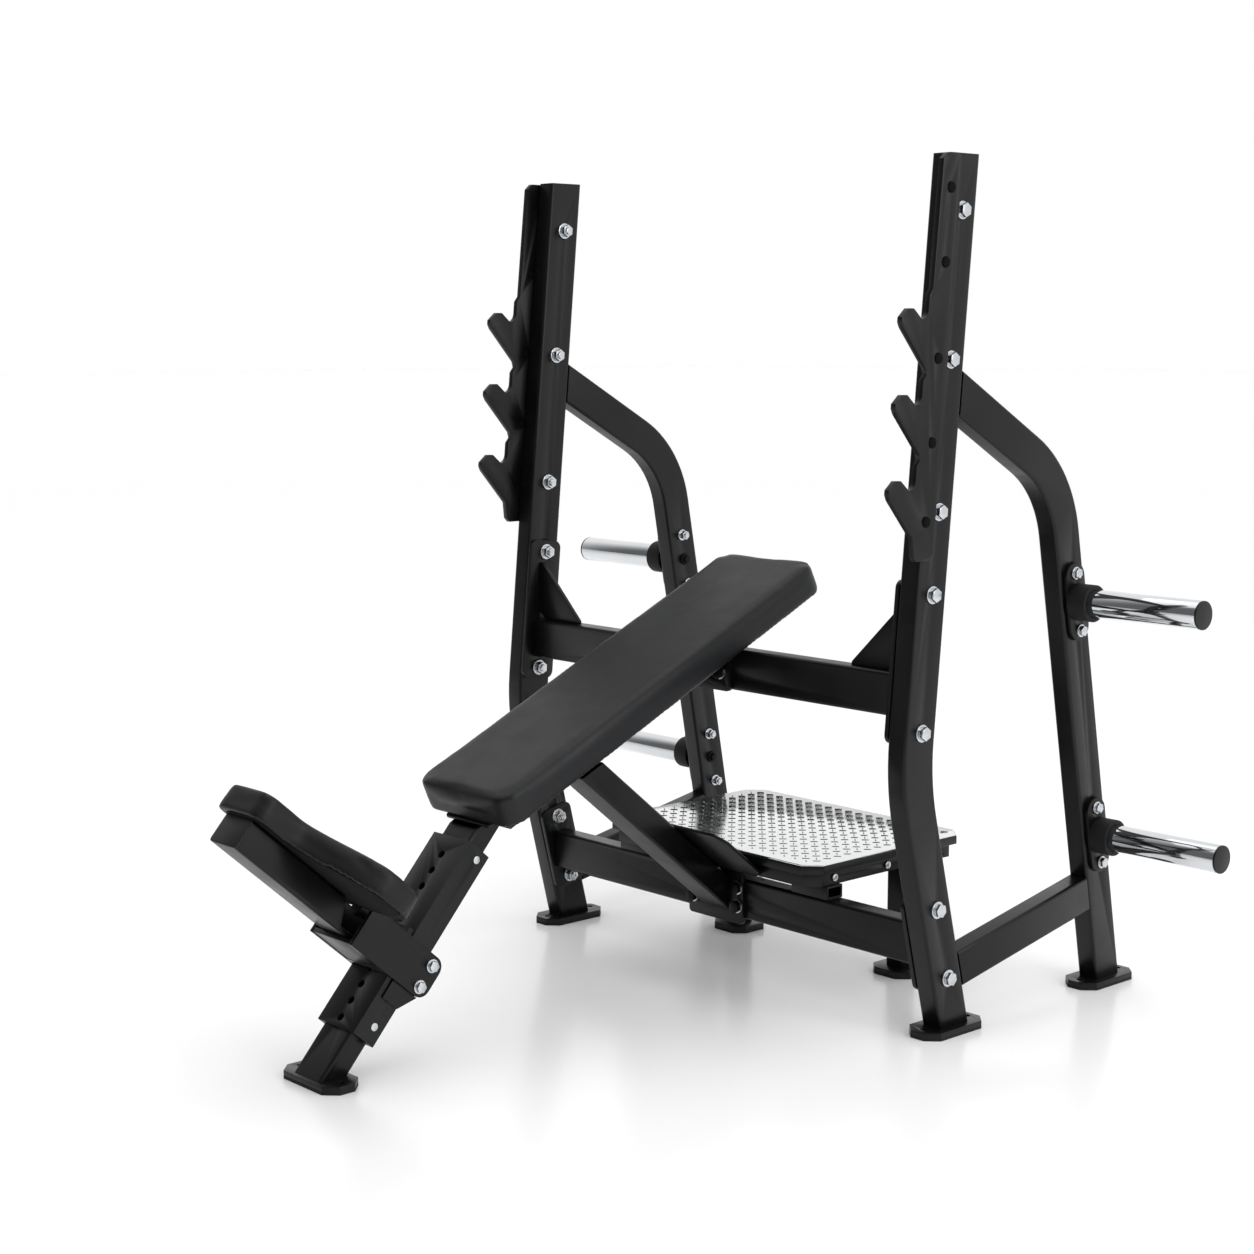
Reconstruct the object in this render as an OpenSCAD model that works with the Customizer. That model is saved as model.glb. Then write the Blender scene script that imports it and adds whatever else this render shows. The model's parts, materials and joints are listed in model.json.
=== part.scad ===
// Incline olympic bench press: a bolted tube frame with bar hooks, plate pegs, a fixed
// incline back pad, a seat that slides on its post, and a spotter's platform behind.
// X runs across the rack, Y from the seat to the platform, Z up, and the floor is at 0.

/* [Frame] */
// Distance between the centrelines of the two uprights
frame_w = 1002.5; // [860:0.5:1250]
// Height of the uprights
frame_h = 1486; // [1430:1:1800]
// Width of the upright, leg and crossbar tubes, seen from the front
tube_w = 40; // [34:1:50]
// Depth of the upright and crossbar tubes, seen from the side
tube_d = 75; // [65:1:85]
// Depth of the rear leg tube
leg_d = 70; // [60:1:80]
// Depth of the side rail tube
rail_d = 65; // [55:1:75]
// Wall of every frame tube
tube_wall = 3; // [2:0.5:4]
// Outer corner radius of every frame tube
tube_r = 6; // [4:0.5:8]
// Height of the corner where the upright bends
bend_z = 451.3; // [430:1:470]
// Height of the middle of the upper crossbar
mid_bar_z = 596; // [590:1:604]
// Height of the middle of the lower crossbar
low_bar_z = 159; // [150:1:165]

/* [Bar hooks] */
// Thickness of the hook plates
hook_t = 10; // [8:1:14]
// Number of hooks on each plate
hook_n = 3; // [2:1:3]
// Vertical distance from one hook to the next
hook_pitch = 138; // [130:1:142]
// Height of the top hook's tip
hook_top = 1236; // [1220:1:1260]
// Depth of the hollow that holds the bar
hook_depth = 16; // [12:1:18]

/* [Plate pegs] */
// Diameter of the plate pegs, for olympic plates
peg_d = 50; // [40:0.5:50]
// Length of each peg from its flange to its end
peg_len = 260; // [180:1:320]
// Diameter of the rubber collar
collar_d = 66; // [60:1:74]
// Length of the rubber collar
collar_len = 37; // [20:1:50]
// Height of the upper peg
peg_hi_z = 724.6; // [700:1:740]
// Height of the lower peg
peg_low_z = 290.6; // [280:1:330]

/* [Back pad] */
// Width of the back pad
back_w = 250; // [220:1:300]
// Length of the back pad
back_len = 821; // [760:1:850]
// Thickness of the back pad
back_t = 58; // [48:0.5:68]
// Incline of the back pad
back_angle = 24.95; // [24:0.05:26]
// Size of the square spine tube under the pad
spine_w = 50; // [40:1:60]

/* [Seat] */
// Length of the seat pad
seat_len = 282; // [260:1:290]
// Greatest width of the seat pad
seat_w = 370; // [300:1:400]
// Width of the seat pad's nose
seat_nose_w = 124; // [100:1:150]
// Thickness of the seat pad
seat_t = 46; // [40:1:56]
// Width of the seat arm and seat post tubes
arm_w = 75; // [60:1:84]
// Depth of the seat post tube
post_d = 42; // [34:1:50]
// Distance between two height holes of the seat
hole_pitch = 31.4; // [28:0.1:34]
// Diameter of the height holes
hole_d = 14; // [10:0.5:16]

/* [Platform] */
// Width of the platform
plat_w = 560; // [500:1:640]
// Depth of the platform
plat_d = 424; // [400:1:440]
// Height of the platform's tread
plat_z = 264; // [255:1:280]

/* [Fasteners] */
// Diameter of the frame bolts
bolt_d = 14; // [10:1:16]
// Diameter of the large washers
washer_d = 30; // [28:1:34]
// Radial clearance of a bolt in its hole
bolt_gap = 0.25; // [0.1:0.05:0.5]
// Size of the foot plates, across the tube
foot_w = 71; // [68:1:90]
// Length of the foot plates, along the tube's lean
foot_len = 150; // [140:1:180]
// Diameter of the anchor holes in the feet
anchor_d = 11; // [8:1:12]

/* [Hidden] */

$fn = 48;
black = "#222222";
zinc = "#b9bcc0";
half_w = frame_w / 2;
out_x = half_w + tube_w / 2;
in_x = half_w - tube_w / 2;

pad_t = 6;
plate_t = 8;
foot_t = pad_t + plate_t;
foot_y = 305.3;
low_lean = atan(0.25);
top_lean = atan(0.0905);
bend_r = 420;
bend_y = foot_y - (bend_z - foot_t) * tan(low_lean);
cap_t = 2;

leg_y0 = 746.6;
leg_lean = atan(0.1876);
leg_bend_z = 940.7;
leg_bend_r = 205;
arm_slope = 29.2;
arm_meet_z = 1098;
leg_bend_y = leg_y0 - (leg_bend_z - foot_t) * tan(leg_lean);

rail_y = 494;
rail_z = 144.5;
rail_slope = atan(0.195);

flange_t = 8;
mid_bar_y = up_y(mid_bar_z) + 5;
low_bar_y = up_y(low_bar_z) - 3;
bar_len = 2 * (in_x - flange_t);
mid_flange_len = 275;
low_flange_len = 170;
mid_flange_z = mid_bar_z + 55.8;
low_flange_z = low_bar_z + 5.5;
mid_bolt_gap = 230;
low_bolt_gap = 125;

gusset_x = 116;
gusset_z = 113;
gusset_clip = 14;

bar_r = 15;
hook_wall_u = 37;
plug_d = 15;
plug_u = 3;
plug_z = [1431, 1311, 1156, 1019, 890];

free_bolt_z = [1396, 1153.6, 904];
head_h = 9;
nut_h = 11;
nut_gap = 0.05;
washer_t = 3;
bolt_tip = 4;
peg_bolt_r = 5.5;
screw_r = 4;
spine_bolt_x = 62;
brace_bolt_x = 58;
anchor_edge = 17;

peg_hole_gap = 106;
peg_wall = 4;
// The collar sits on a seat turned slightly below the peg's diameter.
peg_seat_cut = 0.4;
peg_cap_t = 4;

post_lean = 41.3;
post_y0 = -689.6;
front_foot_y = post_y0 + foot_t * tan(post_lean) + post_d / 2 / cos(post_lean);
guide_w = 100;
guide_front_t = 5;
guide_rear_t = 3;
guide_u0 = 112;
guide_u1 = 478;
first_hole_u = 128.5;
hole_n = 11;
pin_hole = 5;
pin_u = first_hole_u + pin_hole * hole_pitch;

back_y0 = -356;
back_z0 = 446;
back_t0 = -16;
bracket_t = 5;
board_t = 12;
board_inset = 12;
back_corner = 38;
bracket_row_t = [290, 500];
spine_top = -back_t - bracket_t;
spine_t0 = 43;

brace_angle = 39.35;
brace_t = 50;
brace_y = 12.3;
brace_z = 319.8;
bar_flange_t = 8;
mid_front_y = mid_bar_y - tube_w / 2;
low_front_y = low_bar_y - tube_w / 2;

rim_h = 15;
tread_t = 3;
rails_h = 25;
rail_w = 25;
rail_t = 4;
rail_inset = 12;
plat_y0 = 202;
plat_chamfer = 30;
rim_z = plat_z - tread_t - rim_h;
rails_z = rim_z - rails_h;
low_bar_top = low_bar_z + tube_d / 2;
leg_x = 0.384 * plat_w;
plat_leg_y = plat_y0 + plat_d - 110;
plat_leg_w = 40;
plat_foot_w = 90;

cheek_gap = 0.5;
cheek_t = 8;
cheek_x = guide_w / 2 + cheek_gap;
cheek_u0 = 218;
cheek_u1 = 291;
cheek_v0 = -107;
cheek_v1 = 77;
arm_u0 = 227;
arm_h = 52;
arm_u1 = arm_u0 + arm_h;
arm_v0 = -373;
front_v0 = -19;
front_v1 = -9;
roller_r = 9;
roller_gap = 0.3;
roller_v = post_d + guide_rear_t + roller_r + roller_gap;
roller_u = [234, 274];
axle_r = 5;
axle_tail = 14;
seat_v0 = -392;
seat_board_t = 12;
pin_r = hole_d / 2 - 1;
pin_stroke = 14;
pin_clear = 0.05;
housing_r = 11;
front_u1 = pin_u + housing_r + 6;
housing_len = 32;
knob_r = 14;
knob_len = 30;
knob_v = front_v0 - housing_len - pin_stroke - 1;

// Where a piece's axis stands in Y at a height, along the bent upright and the rear leg.
function up_y(z) = z < bend_z ? foot_y - (z - foot_t) * tan(low_lean)
    : bend_y + (z - bend_z) * tan(top_lean);
function up_lean(z) = z < bend_z ? low_lean : -top_lean;
function leg_y(z) = leg_y0 - (z - foot_t) * tan(leg_lean);
function front_y(z) = up_y(z) - tube_d / 2 / cos(top_lean);
function rack(u, z) = [front_y(z) - u, z];
function arc(c, r, a0, a1, n) = [for (i = [0:n]) c + r * [cos(a0 + (a1 - a0) * i / n),
    sin(a0 + (a1 - a0) * i / n)]];
function smooth(s) = let (c = max(0, min(1, s))) c * c * (3 - 2 * c);

// Local frames: each puts its children where a slanted piece has its own straight axes.
module on_upright(side, z) {
    translate([side * half_w, up_y(z), z]) rotate([up_lean(z), 0, 0]) children();
}
module on_leg(side, z) {
    translate([side * half_w, leg_y(z), z]) rotate([leg_lean, 0, 0]) children();
}
module on_post() {
    translate([0, post_y0, 0]) rotate([-post_lean, 0, 0]) children();
}
module on_back() {
    translate([0, back_y0, back_z0]) rotate([back_angle, 0, 0]) children();
}
module on_brace() {
    translate([0, brace_y, brace_z]) rotate([-brace_angle, 0, 0]) children();
}

// Basic shapes.
module block(a, b) {
    translate(a) cube(b - a);
}
module rod_x(x0, x1, r) {
    translate([x0, 0, 0]) rotate([0, 90, 0]) cylinder(h = x1 - x0, r = r);
}
module rod_y(y0, y1, r) {
    translate([0, y0, 0]) rotate([-90, 0, 0]) cylinder(h = y1 - y0, r = r);
}
module hex_x(x0, x1, across) {
    translate([x0, 0, 0]) rotate([0, 90, 0]) cylinder(h = x1 - x0, r = across / sqrt(3), $fn = 6);
}
module plate_yz(x0, x1) {
    translate([x0, 0, 0]) rotate([90, 0, 90]) linear_extrude(x1 - x0) children();
}
module plate_xz(y0, y1) {
    translate([0, y1, 0]) rotate([90, 0, 0]) linear_extrude(y1 - y0) children();
}
module round_rect(w, d, r) {
    square([w - 2 * r, d], center = true);
    square([w, d - 2 * r], center = true);
    for (x = [-1, 1], y = [-1, 1]) translate([x * (w / 2 - r), y * (d / 2 - r)]) circle(r);
}
module chamfer_rect(w, d, c) {
    polygon([[c - w / 2, -d / 2], [w / 2 - c, -d / 2], [w / 2, c - d / 2], [w / 2, d / 2 - c],
        [w / 2 - c, d / 2], [c - w / 2, d / 2], [-w / 2, d / 2 - c], [-w / 2, c - d / 2]]);
}
module tube_section(w, d) {
    difference() {
        round_rect(w, d, tube_r);
        round_rect(w - 2 * tube_wall, d - 2 * tube_wall, tube_r - tube_wall / 2);
    }
}
module tube_z(w, d, z0, z1) {
    translate([0, 0, z0]) linear_extrude(z1 - z0) tube_section(w, d);
}
module tube_y(w, d, y0, y1) {
    rotate([-90, 0, 0]) tube_z(w, d, y0, y1);
}
module tube_x(h, d, x0, x1) {
    rotate([0, 90, 0]) tube_z(h, d, x0, x1);
}

// A tube that runs up to a corner at the origin and on from it, turned by turn degrees
// about X: forward when turn is above 0, rearward when it is below 0.
module bent_tube(w, d, down, up, r, turn) {
    set = r * tan(abs(turn) / 2);
    tube_z(w, d, -down, -set);
    rotate([0, 0, turn > 0 ? 0 : 180]) translate([0, -r, -set]) rotate([90, 0, 90])
        rotate_extrude(angle = abs(turn), $fn = 180) translate([r, 0]) tube_section(d, w);
    rotate([turn, 0, 0]) tube_z(w, d, set, up);
}

// A bolt along X with its head on the +X side: washers and nut are drawn by the same sizes.
module bolt_x(x_nut, x_head, r, head_h) {
    rod_x(x_nut - washer_t - nut_h - bolt_tip, x_head + washer_t, r);
    hex_x(x_head + washer_t, x_head + washer_t + head_h, 3 * r);
}
module washers_x(x_nut, x_head, r, bore) {
    difference() {
        union() {
            rod_x(x_head, x_head + washer_t, r);
            rod_x(x_nut - washer_t, x_nut, r);
        }
        rod_x(x_nut - 2 * washer_t, x_head + 2 * washer_t, bore);
    }
}
module nut_x(x_nut, r) {
    difference() {
        hex_x(x_nut - washer_t - nut_h, x_nut - washer_t, 3 * r);
        rod_x(x_nut - 30, x_nut, r + nut_gap);
    }
}

// Where the frame's bolts stand. Each child is drawn with +X pointing out of the frame.
module outward(side) {
    mirror([side < 0 ? 1 : 0, 0, 0]) children();
}
module at_free_bolts() {
    for (side = [-1, 1], z = free_bolt_z) outward(side) on_upright(1, z) children();
}
module at_flange_bolts() {
    for (side = [-1, 1], h = [-1, 1]) {
        outward(side) on_upright(1, mid_flange_z + h * mid_bolt_gap / 2) children();
        outward(side) on_upright(1, low_flange_z + h * low_bolt_gap / 2) children();
    }
}
module at_peg_bolts() {
    for (side = [-1, 1], z = [peg_hi_z, peg_low_z], h = [-1, 1])
        outward(side) on_leg(1, z) translate([0, 0, h * peg_hole_gap / 2]) children();
}
module at_bar_bolts() {
    for (x = [-1, 1]) {
        translate([x * spine_bolt_x, mid_bar_y, mid_bar_z - 6]) rotate([0, 0, -90]) children();
        for (z = [-13, 22])
            translate([x * brace_bolt_x, low_bar_y, low_bar_z + z]) rotate([0, 0, -90]) children();
    }
}
module at_pegs() {
    for (side = [-1, 1], z = [peg_hi_z, peg_low_z]) outward(side) on_leg(1, z) children();
}
module bolt_hole(r) {
    rod_x(-tube_w, tube_w, r + bolt_gap);
}

// Frame.
module upright(side) {
    color(black) difference() {
        translate([side * half_w, bend_y, bend_z]) rotate([low_lean, 0, 0])
            bent_tube(tube_w, tube_d, (bend_z - foot_t) / cos(low_lean) + 20,
                (frame_h - bend_z) / cos(top_lean) + 20, bend_r, -low_lean - top_lean);
        block([side * half_w - 60, 0, -60], [side * half_w + 60, 500, foot_t]);
        block([side * half_w - 60, 0, frame_h], [side * half_w + 60, 600, frame_h + 60]);
        at_free_bolts() bolt_hole(bolt_d / 2);
        at_flange_bolts() bolt_hole(bolt_d / 2);
    }
}
module behind_upright(side, z) {
    on_upright(side, z) block([-60, -400, -300], [60, tube_d / 2, 300]);
}
module rear_leg(side) {
    color(black) difference() {
        translate([side * half_w, leg_bend_y, leg_bend_z]) rotate([leg_lean, 0, 0])
            bent_tube(tube_w, leg_d, (leg_bend_z - foot_t) / cos(leg_lean) + 20,
                (leg_bend_y - up_y(arm_meet_z)) / cos(arm_slope) + 40, leg_bend_r,
                90 - arm_slope - leg_lean);
        block([side * half_w - 60, 600, -60], [side * half_w + 60, 900, foot_t]);
        behind_upright(side, arm_meet_z);
        at_peg_bolts() bolt_hole(peg_bolt_r);
        at_pegs() bolt_hole(peg_bolt_r);
    }
}
module side_rail(side) {
    color(black) difference() {
        translate([side * half_w, rail_y, rail_z]) rotate([rail_slope, 0, 0])
            tube_y(tube_w, rail_d, -300, 300);
        behind_upright(side, rail_z - 30);
        on_leg(side, rail_z + 30) block([-60, -leg_d / 2, -300], [60, 400, 300]);
    }
}
module upright_caps() {
    color("#151515") for (side = [-1, 1]) translate([side * half_w, up_y(frame_h), frame_h]) {
        linear_extrude(cap_t) round_rect(tube_w, tube_d / cos(top_lean), tube_r);
        translate([0, -1, -12]) linear_extrude(12)
            round_rect(tube_w - 2 * tube_wall - 1, tube_d - 2 * tube_wall - 5, 4);
    }
}

// One hook, from its throat up to the plate's edge above it, with its tip at height t.
function hook(t) = concat(
    [rack(34, t - 95), rack(96, t - 31), rack(101, t - 22), rack(101, t - 14), rack(86, t),
        rack(74, t), rack(72, t - 1)],
    [for (i = [0:6]) let (a = 270 - 15 * i) rack(hook_wall_u + bar_r * (1 + cos(a)),
        t - 1 - hook_depth + bar_r * (1 + sin(a)))],
    [rack(hook_wall_u, t + 22), rack(30, t + 32)]);
module hook_plate(side) {
    z0 = 826;
    outline = concat(
        [rack(-20, z0 + 10), rack(-12, z0), rack(20, z0), rack(28, z0 + 8)],
        [for (k = [hook_n - 1:-1:0]) each hook(hook_top - k * hook_pitch)],
        [rack(28, frame_h - 10), rack(18, frame_h), rack(-12, frame_h), rack(-20, frame_h - 10)]);
    color(black) outward(side) difference() {
        plate_yz(out_x, out_x + hook_t) polygon(outline);
        for (z = plug_z) translate([0, rack(plug_u, z)[0], z])
            rod_x(out_x - 1, out_x + hook_t + 1, plug_d / 2);
    }
}
module hook_plugs() {
    color("#0f0f0f") for (side = [-1, 1], z = plug_z)
        outward(side) translate([0, rack(plug_u, z)[0], z]) {
            rod_x(out_x, out_x + hook_t, plug_d / 2 - 0.05);
            rod_x(out_x + hook_t, out_x + hook_t + 1.5, plug_d / 2 + 1.5);
        }
}
module mid_crossbar() {
    color(black) difference() {
        translate([0, mid_bar_y, mid_bar_z]) tube_x(tube_d, tube_w, -bar_len / 2, bar_len / 2);
        at_bar_bolts() bolt_hole(bolt_d / 2);
    }
}
module lower_crossbar() {
    color(black) difference() {
        translate([0, low_bar_y, low_bar_z]) tube_x(tube_d, tube_w, -bar_len / 2, bar_len / 2);
        at_bar_bolts() bolt_hole(bolt_d / 2);
    }
}
module bar_flanges() {
    color(black) difference() {
        for (side = [-1, 1], f = [[mid_flange_z, mid_flange_len], [low_flange_z, low_flange_len]])
            outward(side) on_upright(1, f[0])
                plate_yz(-tube_w / 2 - flange_t, -tube_w / 2) round_rect(tube_d, f[1], 15);
        at_flange_bolts() bolt_hole(bolt_d / 2);
    }
}
module gusset_plates() {
    z0 = mid_bar_z + tube_d / 2;
    x0 = in_x - flange_t;
    color(black) for (side = [-1, 1]) outward(side)
        plate_xz(mid_bar_y - 4, mid_bar_y + 4) polygon([[x0, z0 + gusset_clip],
            [x0, z0 + gusset_z], [x0 - 6, z0 + gusset_z], [x0 - gusset_x, z0 + 6],
            [x0 - gusset_x, z0], [x0 - gusset_clip, z0]]);
}

// Feet: the same outline is a steel plate above and a rubber pad below.
module foot_outline() {
    difference() {
        chamfer_rect(foot_w, foot_len, 21);
        for (y = [-1, 1]) translate([0, y * (foot_len / 2 - anchor_edge)]) circle(anchor_d / 2);
    }
}
module feet(z0, z1) {
    translate([0, 0, z0]) linear_extrude(z1 - z0) {
        for (x = [-half_w, half_w], y = [foot_y, leg_y0]) translate([x, y]) foot_outline();
        translate([0, front_foot_y]) rotate(90) foot_outline();
        for (x = [-1, 1]) translate([x * leg_x, plat_leg_y])
            chamfer_rect(plat_foot_w, plat_foot_w, 20);
    }
}
module foot_plates() {
    color(black) feet(pad_t, foot_t);
}
module foot_pads() {
    color("#101010") feet(0, pad_t);
}

// Fasteners of the frame.
module frame_bolts() {
    color(zinc) {
        at_free_bolts() bolt_x(-tube_w / 2, tube_w / 2, bolt_d / 2, head_h);
        at_flange_bolts() bolt_x(-tube_w / 2 - flange_t, tube_w / 2, bolt_d / 2, head_h);
    }
}
module flange_bolts() {
    color(zinc) at_bar_bolts()
        bolt_x(-tube_w / 2, tube_w / 2 + bar_flange_t, bolt_d / 2, head_h);
}
module frame_washers() {
    bore = bolt_d / 2 + bolt_gap;
    color(zinc) {
        at_free_bolts() washers_x(-tube_w / 2, tube_w / 2, washer_d / 2, bore);
        at_flange_bolts() washers_x(-tube_w / 2 - flange_t, tube_w / 2, washer_d / 2, bore);
        at_bar_bolts() washers_x(-tube_w / 2, tube_w / 2 + bar_flange_t, 13, bore);
    }
}
module frame_nuts() {
    color(zinc) {
        at_free_bolts() nut_x(-tube_w / 2, bolt_d / 2);
        at_flange_bolts() nut_x(-tube_w / 2 - flange_t, bolt_d / 2);
        at_bar_bolts() nut_x(-tube_w / 2, bolt_d / 2);
        at_peg_bolts() nut_x(-tube_w / 2, peg_bolt_r);
    }
}

// Plate pegs.
module peg_flanges() {
    color(black) difference() {
        at_pegs() plate_yz(tube_w / 2, tube_w / 2 + flange_t)
            round_rect(52, peg_hole_gap + 36, 25.9);
        at_peg_bolts() bolt_hole(peg_bolt_r);
        at_pegs() bolt_hole(peg_bolt_r);
    }
}
module plate_pegs() {
    color("#d8dadd") at_pegs() difference() {
        union() {
            rod_x(tube_w / 2 + flange_t, tube_w / 2 + flange_t + peg_len - peg_cap_t,
                peg_d / 2 - peg_seat_cut);
            rod_x(tube_w / 2 + flange_t + collar_len, tube_w / 2 + flange_t + peg_len - peg_cap_t,
                peg_d / 2);
        }
        rod_x(tube_w / 2, tube_w / 2 + flange_t + peg_len, peg_d / 2 - peg_wall);
    }
}
module peg_collars() {
    x0 = tube_w / 2 + flange_t;
    color("#141414") at_pegs() difference() {
        rod_x(x0, x0 + collar_len, collar_d / 2);
        rod_x(x0 - 1, x0 + collar_len + 1, peg_d / 2 - peg_seat_cut + 0.05);
        for (h = [-1, 1]) translate([0, 0, h * peg_hole_gap / 2]) rod_x(x0, x0 + 40, 15);
    }
}
module peg_end_caps() {
    x1 = tube_w / 2 + flange_t + peg_len;
    color("#141414") at_pegs() {
        rod_x(x1 - peg_cap_t, x1, peg_d / 2);
        rod_x(x1 - peg_cap_t - 14, x1 - peg_cap_t, peg_d / 2 - peg_wall - 0.05);
    }
}
module peg_centre_bolts() {
    color("#2c2c2e") at_pegs() {
        rod_x(-tube_w / 2 - washer_t, tube_w / 2 + flange_t + 4, peg_bolt_r);
        rod_x(-tube_w / 2 - washer_t, -tube_w / 2, 12);
        hex_x(-tube_w / 2 - washer_t - 8, -tube_w / 2 - washer_t, 3 * peg_bolt_r);
    }
}
module peg_plugs() {
    color(black) at_pegs() difference() {
        rod_x(tube_w / 2 + flange_t, tube_w / 2 + flange_t + 12, peg_d / 2 - peg_wall - 0.05);
        rod_x(tube_w / 2, tube_w / 2 + flange_t + 13, peg_bolt_r + nut_gap);
    }
}
module peg_bolts() {
    color(zinc) at_peg_bolts()
        bolt_x(-tube_w / 2, tube_w / 2 + flange_t, peg_bolt_r, 7);
}
module peg_washers() {
    color(zinc) at_peg_bolts() washers_x(-tube_w / 2, tube_w / 2 + flange_t, 11.5,
        peg_bolt_r + bolt_gap);
}

// Seat post and its guide.
module at_height_holes() {
    for (k = [0:hole_n - 1]) translate([0, 0, first_hole_u + k * hole_pitch]) children();
}
module at_guide_screws() {
    for (side = [-1, 1], u = [guide_u0 + 28, guide_u1 - 17])
        outward(side) translate([0, 27, u]) children();
}
module above_spine() {
    on_back() block([-200, -400, spine_top], [200, 900, 300]);
}
module seat_post() {
    color(black) difference() {
        on_post() translate([0, post_d / 2, 0]) tube_z(arm_w, post_d, -40, 700);
        block([-100, post_y0 - 200, -100], [100, post_y0 + 200, foot_t]);
        above_spine();
        on_post() at_height_holes() rod_y(-1, tube_wall + 1, hole_d / 2);
        on_post() at_guide_screws() rod_x(arm_w / 2 - 8, guide_w / 2, screw_r + 0.25);
    }
}
module seat_guide() {
    x = guide_w / 2;
    color("#2a2a2a") on_post() {
        difference() {
            block([-x, -guide_front_t, guide_u0], [x, 0, guide_u1]);
            at_height_holes() rod_y(-guide_front_t - 1, 1, hole_d / 2);
        }
        block([-x, post_d, guide_u0], [x, post_d + guide_rear_t, guide_u1]);
    }
}
module guide_strips() {
    color("#2a2a2a") on_post() difference() {
        for (side = [-1, 1]) outward(side)
            block([arm_w / 2, 0, guide_u0], [guide_w / 2, post_d, guide_u1]);
        at_guide_screws() rod_x(arm_w / 2 - 1, guide_w / 2 + 1, screw_r + 0.25);
        at_guide_screws() rod_x(guide_w / 2 - 4.5, guide_w / 2 + 1, screw_r + 3.25);
    }
}
module guide_screws() {
    color(zinc) on_post() at_guide_screws() {
        rod_x(arm_w / 2 - 6, guide_w / 2 - 4.5, screw_r);
        rod_x(guide_w / 2 - 4.5, guide_w / 2 - 0.3, screw_r + 3);
    }
}

// Spine, brace and what they hold.
module spine() {
    color(black) difference() {
        on_back() translate([0, 0, spine_top - spine_w / 2])
            tube_y(spine_w, spine_w, spine_t0, 760);
        on_post() block([-60, -300, -100], [60, post_d, 900]);
        block([-200, mid_front_y - bar_flange_t, 0], [200, 900, 1300]);
    }
}
module spine_flange() {
    color(black) difference() {
        translate([0, 0, mid_bar_z])
            plate_xz(mid_front_y - bar_flange_t, mid_front_y) round_rect(170, 80, 8);
        at_bar_bolts() bolt_hole(bolt_d / 2);
        on_back() block([-200, -400, spine_top], [200, 900, 300]);
    }
}
module pad_brackets() {
    color(black) on_back() translate([0, 0, spine_top]) linear_extrude(bracket_t) {
        translate([0, 56]) round_rect(arm_w + 45, 150, 8);
        for (t = bracket_row_t) translate([0, t]) round_rect(back_w - 60, 50, 8);
    }
}
module brace() {
    color(black) difference() {
        on_brace() translate([0, 0, brace_t / 2]) tube_y(arm_w, brace_t, -240, 400);
        on_back() block([-200, -100, spine_top - spine_w], [200, 900, 300]);
        block([-200, low_front_y - bar_flange_t, 0], [200, 900, 900]);
    }
}
module brace_flange() {
    color(black) difference() {
        translate([0, 0, low_bar_z + 4.5])
            plate_xz(low_front_y - bar_flange_t, low_front_y) round_rect(142, 103, 8);
        at_bar_bolts() bolt_hole(bolt_d / 2);
    }
}
module brace_tie_plate() {
    color(black) difference() {
        on_brace() translate([0, 150, brace_t]) linear_extrude(6) chamfer_rect(300, 148, 22);
        block([-300, plat_y0 + rail_inset, 0], [300, 900, 900]);
    }
}
module back_board() {
    color("#8a6a48") on_back() translate([0, back_t0 + back_len / 2, -back_t])
        linear_extrude(board_t) round_rect(back_w - 2 * board_inset,
            back_len - 2 * board_inset, back_corner - board_inset);
}
module back_pad() {
    color("#26282b") on_back() translate([0, back_t0 + back_len / 2, -back_t]) difference() {
        linear_extrude(back_t) round_rect(back_w, back_len, back_corner);
        translate([0, 0, -1]) linear_extrude(board_t + 1)
            round_rect(back_w - 2 * board_inset, back_len - 2 * board_inset, back_corner - board_inset);
    }
}

// Platform.
module plat_outline(inset, c) {
    translate([0, plat_y0 + plat_d / 2])
        chamfer_rect(plat_w - 2 * inset, plat_d - 2 * inset, c);
}
module platform_plate() {
    color("#c9ccd0") translate([0, 0, plat_z - tread_t]) linear_extrude(tread_t)
        plat_outline(2, plat_chamfer - 1);
}
module platform_rim() {
    color(black) translate([0, 0, rim_z]) linear_extrude(rim_h) difference() {
        plat_outline(0, plat_chamfer);
        plat_outline(30, plat_chamfer - 12);
    }
}
module platform_rails() {
    x = plat_w / 2 - rail_inset - rail_t;
    c = plat_chamfer - 5;
    color(black) {
        difference() {
            translate([0, 0, rails_z]) linear_extrude(rails_h) plat_outline(rail_inset, c);
            translate([0, 0, rails_z - 1]) linear_extrude(rails_h - rail_t + 1)
                plat_outline(rail_inset + rail_t, c - 2);
            translate([0, 0, rails_z]) linear_extrude(rails_h + 1)
                plat_outline(rail_inset + rail_w, c - 10);
            at_platform_bolts() rod_x(-10, 10, screw_r + 0.25);
        }
        for (y = [low_bar_y, plat_leg_y]) difference() {
            block([-x, y - plat_leg_w / 2 - rail_t, rails_z],
                [x, y + plat_leg_w / 2 + rail_t, rim_z]);
            block([-x - 1, y - plat_leg_w / 2, rails_z - 1],
                [x + 1, y + plat_leg_w / 2, rim_z - rail_t]);
        }
    }
}
module at_platform_bolts() {
    for (side = [-1, 1], y = [70, plat_d / 2, plat_d - 70]) outward(side)
        translate([plat_w / 2 - rail_inset, plat_y0 + y, rails_z + rails_h / 2]) children();
}
module platform_bolts() {
    color(zinc) at_platform_bolts() {
        rod_x(-rail_t - 4, 0, screw_r);
        rod_x(0, 3, screw_r + 3);
    }
}
module platform_legs() {
    color(black) for (x = [-1, 1]) translate([x * leg_x, plat_leg_y, 0])
        tube_z(plat_leg_w, plat_leg_w, foot_t, rim_z - rail_t);
}
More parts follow.
